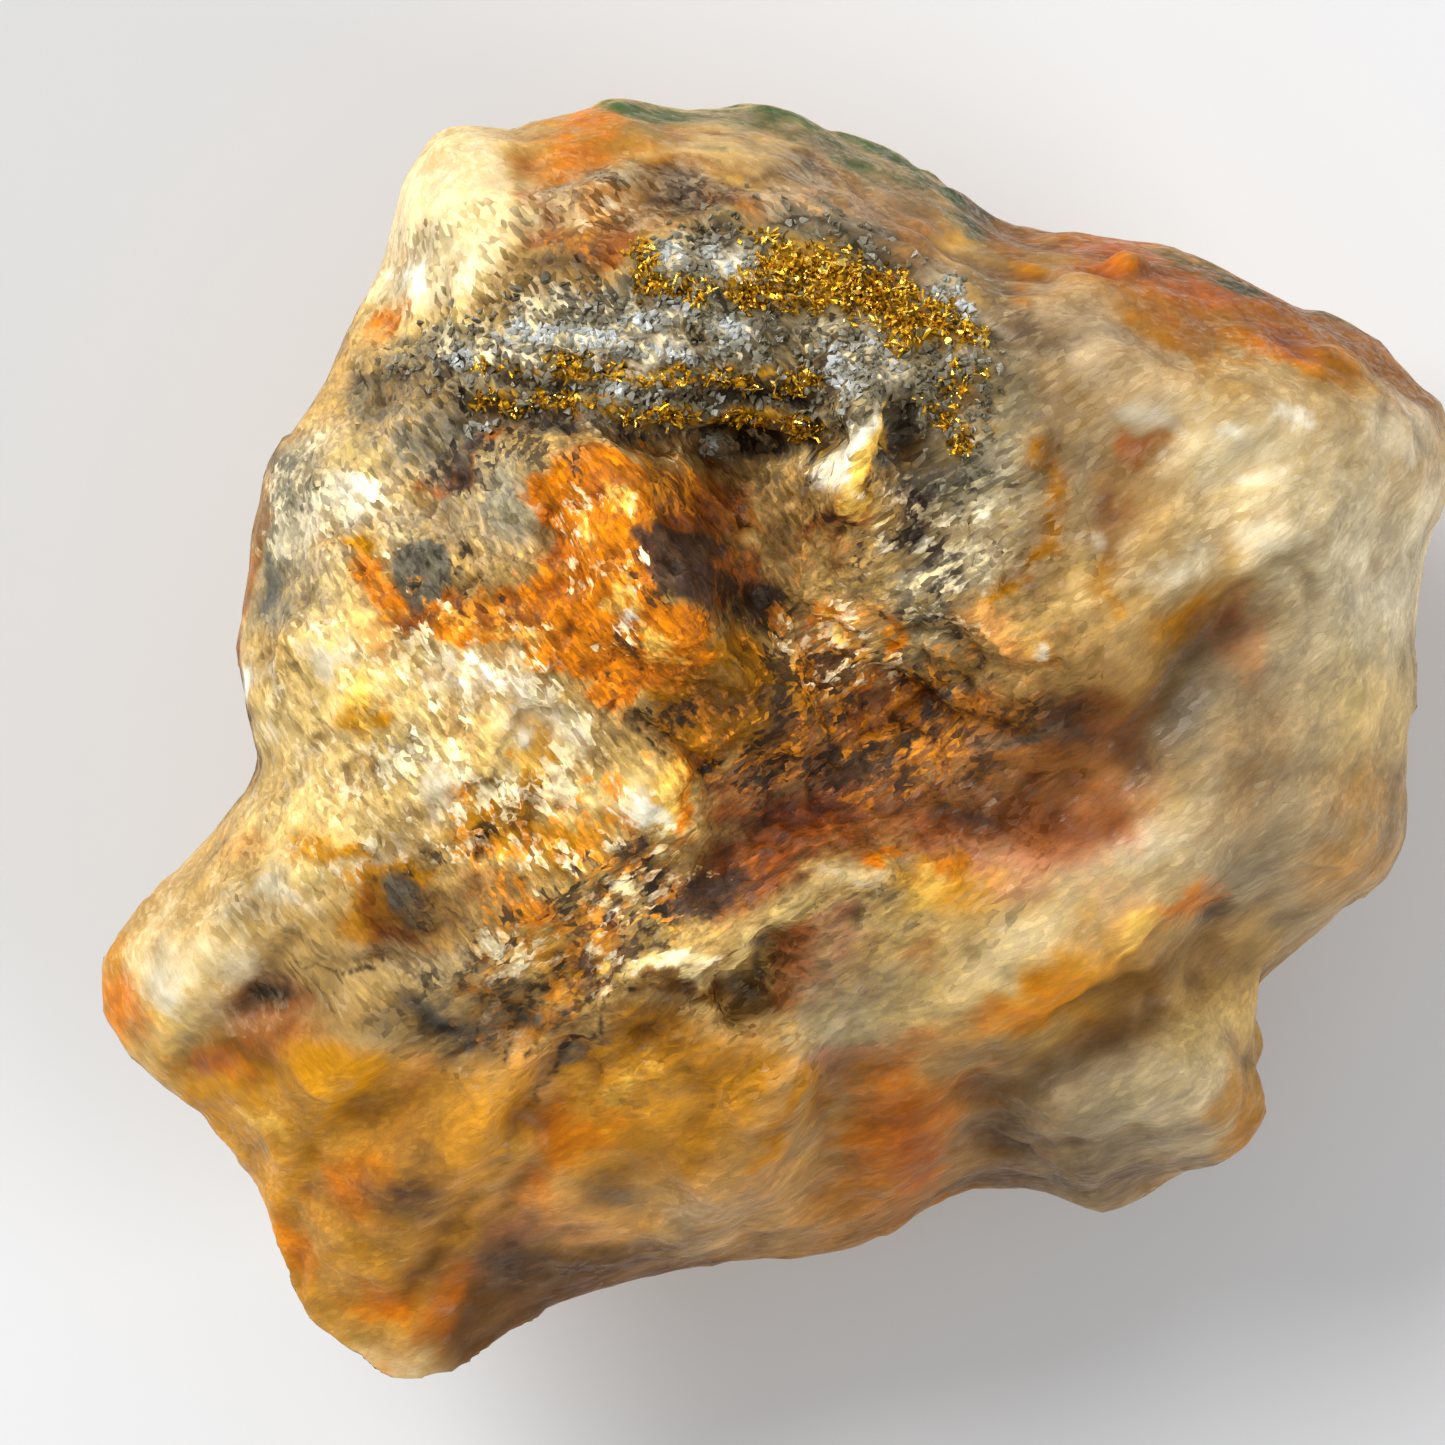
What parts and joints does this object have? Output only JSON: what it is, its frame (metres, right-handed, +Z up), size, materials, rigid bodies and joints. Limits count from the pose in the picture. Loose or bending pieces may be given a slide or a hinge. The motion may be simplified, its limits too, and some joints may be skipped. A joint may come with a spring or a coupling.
{
  "type": "gold in quartz hand specimen",
  "caption": "Irregular broken lump of iron-stained vein quartz with two seams of granular crystalline gold across its upper face; lies on a small flat break.",
  "frame": {"origin": "middle of the footprint, at the level of the flat break that the stone lies on", "axes": "+X along the longest side of the stone, +Y across it towards the gold-bearing edge, +Z up out of the gold-bearing face"},
  "size_m": [0.0406, 0.0388, 0.023],
  "materials": {
    "quartz": "rough translucent milky quartz, iron-stained",
    "gold": "granular crystalline native gold, satin"
  },
  "bodies": {
    "root": {"quartz_matrix": "quartz", "gold_upper_seam": "gold", "gold_lower_seam": "gold", "gold_side_cluster": "gold"}
  },
  "joints": []
}
